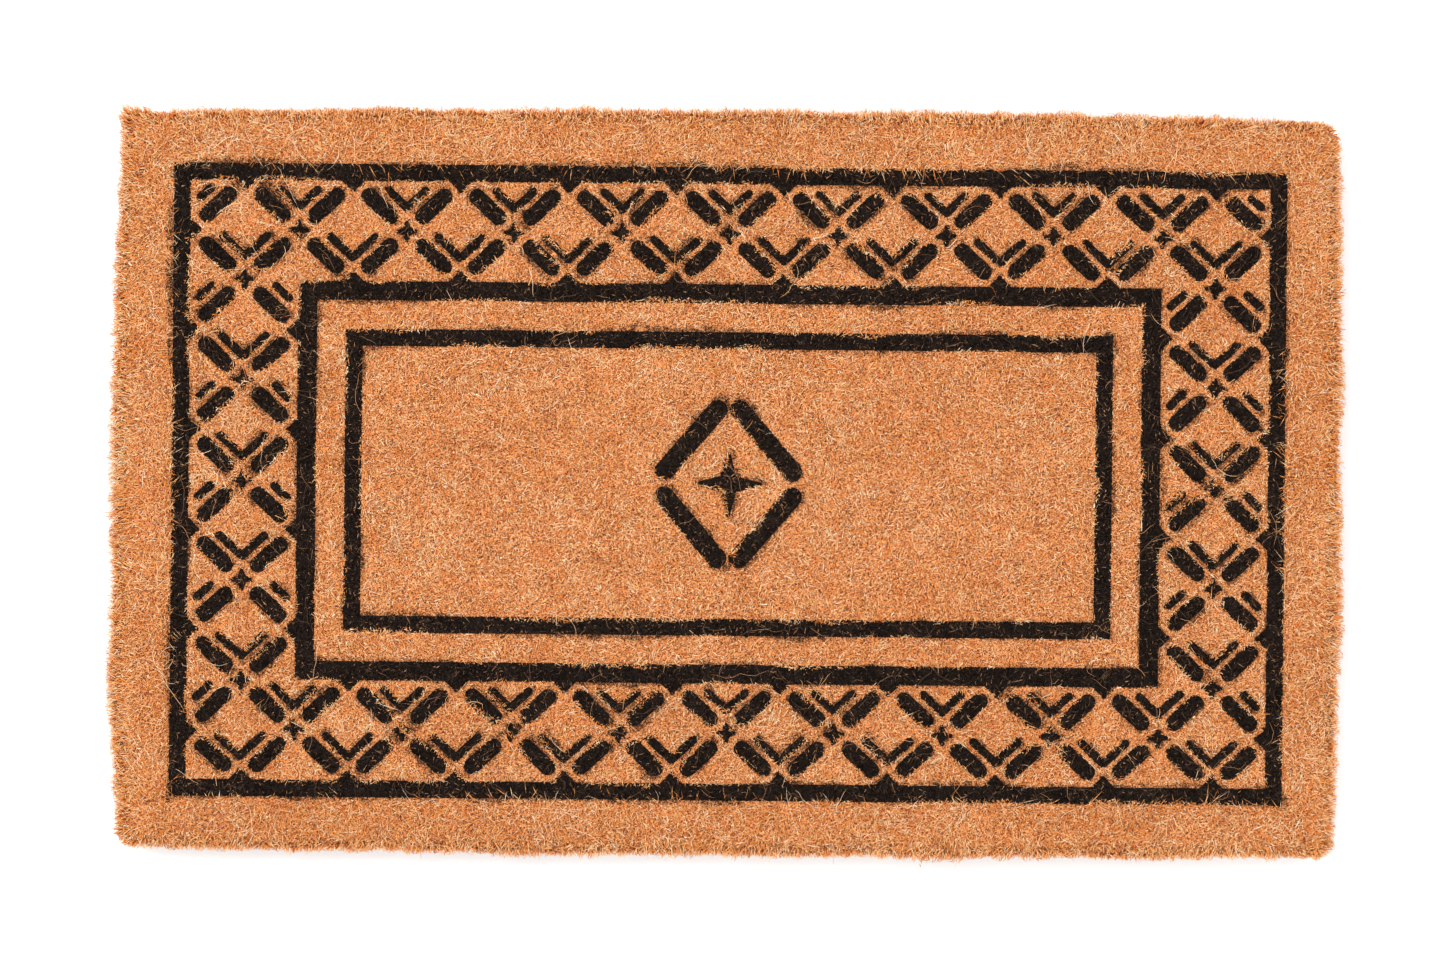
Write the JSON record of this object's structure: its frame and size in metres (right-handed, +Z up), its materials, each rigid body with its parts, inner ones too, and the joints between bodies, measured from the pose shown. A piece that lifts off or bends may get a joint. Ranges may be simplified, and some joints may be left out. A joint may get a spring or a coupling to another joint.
{
  "type": "door mat",
  "caption": "Thick rectangular handwoven coir door mat: corded underside, bound edges, and cut pile with a dyed lattice border, frames and centre medallion.",
  "frame": {"origin": "centre of the underside, on the surface that the mat lies on", "axes": "+X along the mat's length, +Y across it towards the pattern's upper side, +Z up through the pile"},
  "size_m": [0.914, 0.555, 0.038],
  "materials": {
    "natural_coir": "undyed coconut fibre, cut pile, matt",
    "dyed_coir": "black dyed coconut fibre, cut pile, matt",
    "coir_cord": "two-ply coir cord, rough, matt",
    "edge_rope": "thick twisted coir rope, rough, matt",
    "twine": "fine twisted twine, matt"
  },
  "bodies": {
    "root": {"warp_cords": "coir_cord", "weft_cords": "coir_cord", "edge_rope_front": "edge_rope", "edge_rope_back": "edge_rope", "edge_rope_left": "edge_rope", "edge_rope_right": "edge_rope", "edge_stitching": "twine", "margin_pile": "natural_coir", "outer_frame_pile": "dyed_coir", "lattice_ground_pile": "natural_coir", "lattice_bar_pile": "dyed_coir", "lattice_chevron_pile": "dyed_coir", "lattice_star_pile": "dyed_coir", "middle_frame_pile": "dyed_coir", "inner_band_pile": "natural_coir", "panel_frame_pile": "dyed_coir", "centre_panel_pile": "natural_coir", "medallion_pile": "dyed_coir"}
  },
  "joints": []
}
